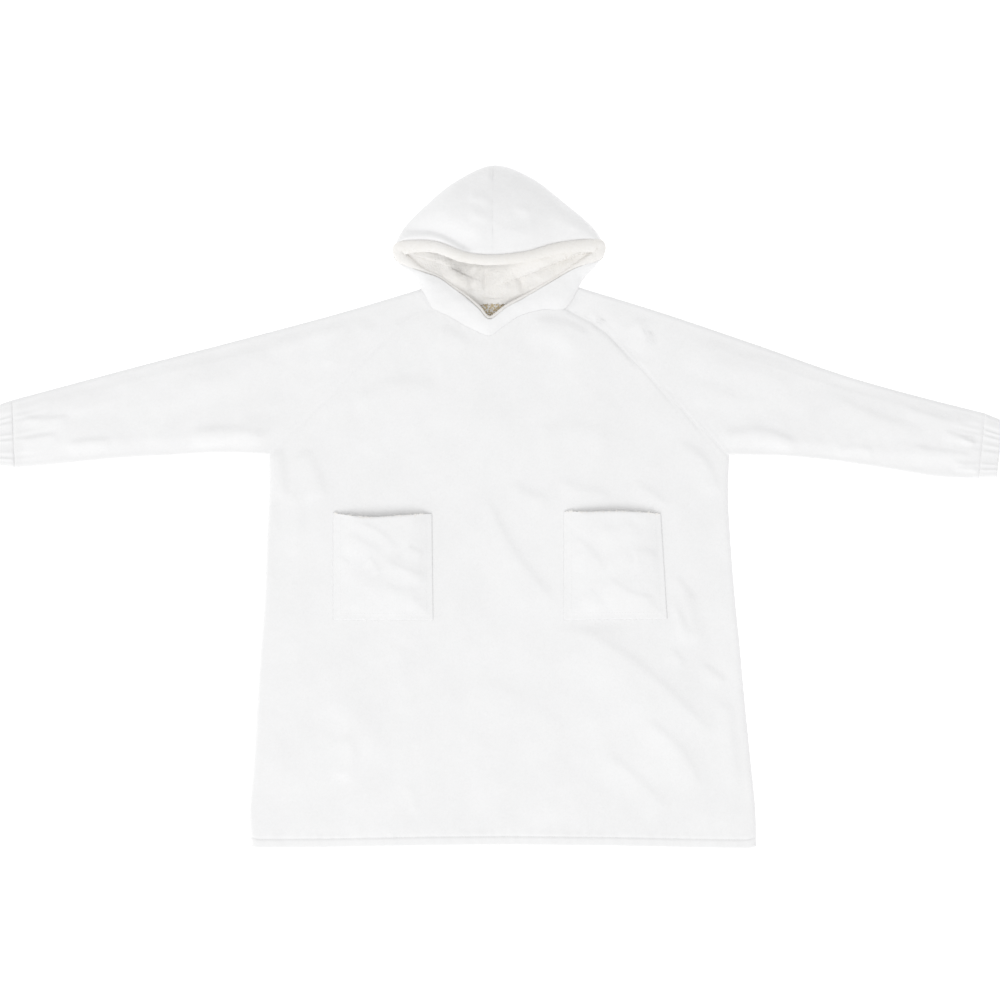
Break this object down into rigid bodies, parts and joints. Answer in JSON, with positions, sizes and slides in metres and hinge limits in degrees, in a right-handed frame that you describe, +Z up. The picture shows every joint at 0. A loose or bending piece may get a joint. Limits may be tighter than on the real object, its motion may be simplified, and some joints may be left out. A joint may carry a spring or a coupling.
{
  "type": "wearable blanket hoodie",
  "caption": "Hooded wearable blanket laid flat, front up: long body, spread raglan sleeves with gathered cuffs, gaping patch pockets and an open sherpa-lined hood",
  "frame": {"origin": "On the surface the garment lies on, under the middle of its bounding box, z = 0 on the underside", "axes": "+X toward the wearer's left cuff, +Y toward the hood, +Z up from the surface, out of the garment's front"},
  "size_m": [1.716, 1.1655, 0.0631],
  "materials": {
    "body_front": "white brushed flannel fleece, sherpa-backed",
    "body_back": "white brushed flannel fleece, sherpa-backed",
    "sleeve_left": "white brushed flannel fleece, sherpa-backed",
    "sleeve_right": "white brushed flannel fleece, sherpa-backed",
    "cuff_left": "white brushed flannel fleece, gathered on elastic",
    "cuff_right": "white brushed flannel fleece, gathered on elastic",
    "hood_left": "white brushed flannel fleece",
    "hood_right": "white brushed flannel fleece",
    "hood_lining": "cream sherpa pile",
    "hood_rim": "cream sherpa pile",
    "pocket_left": "white brushed flannel fleece, sherpa-backed",
    "pocket_right": "white brushed flannel fleece, sherpa-backed"
  },
  "bodies": {
    "root": {"body_front": "body_front", "body_back": "body_back", "sleeve_left": "sleeve_left", "sleeve_right": "sleeve_right", "cuff_left": "cuff_left", "cuff_right": "cuff_right", "hood_left": "hood_left", "hood_right": "hood_right", "hood_lining": "hood_lining", "hood_rim": "hood_rim", "pocket_left": "pocket_left", "pocket_right": "pocket_right"}
  },
  "joints": []
}
